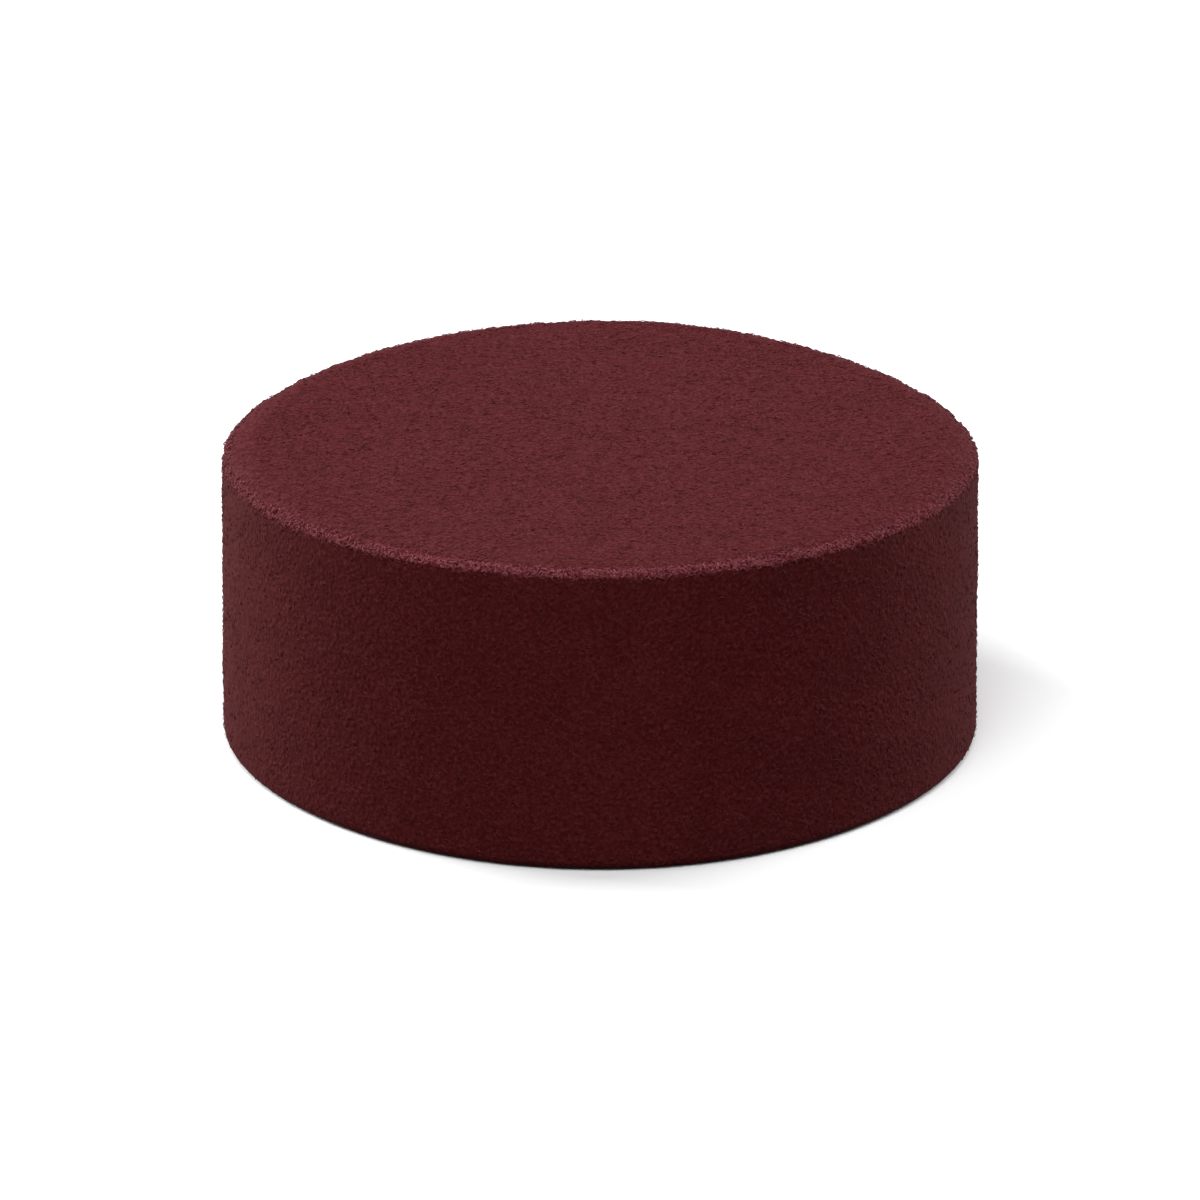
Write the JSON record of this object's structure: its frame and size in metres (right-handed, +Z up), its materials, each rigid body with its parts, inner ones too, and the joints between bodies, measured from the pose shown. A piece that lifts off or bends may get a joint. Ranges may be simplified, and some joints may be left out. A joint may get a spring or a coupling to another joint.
{
  "type": "red velvet mud cake",
  "caption": "Short round uncut mud cake with a flat top, softly rounded lumpy top edge and straight wall, coated all over in dark red velvet spray; made to be served in slices.",
  "frame": {"origin": "centre of the cake's flat base, on the surface it stands on", "axes": "+Z up through the middle of the cake, -Y towards the front as pictured, +X to the right of that view"},
  "size_m": [0.2142, 0.2142, 0.0862],
  "materials": {
    "velvet_coat": "dry velvet spray, matte with a fine nap"
  },
  "bodies": {
    "root": {"cake": "velvet_coat"}
  },
  "joints": []
}
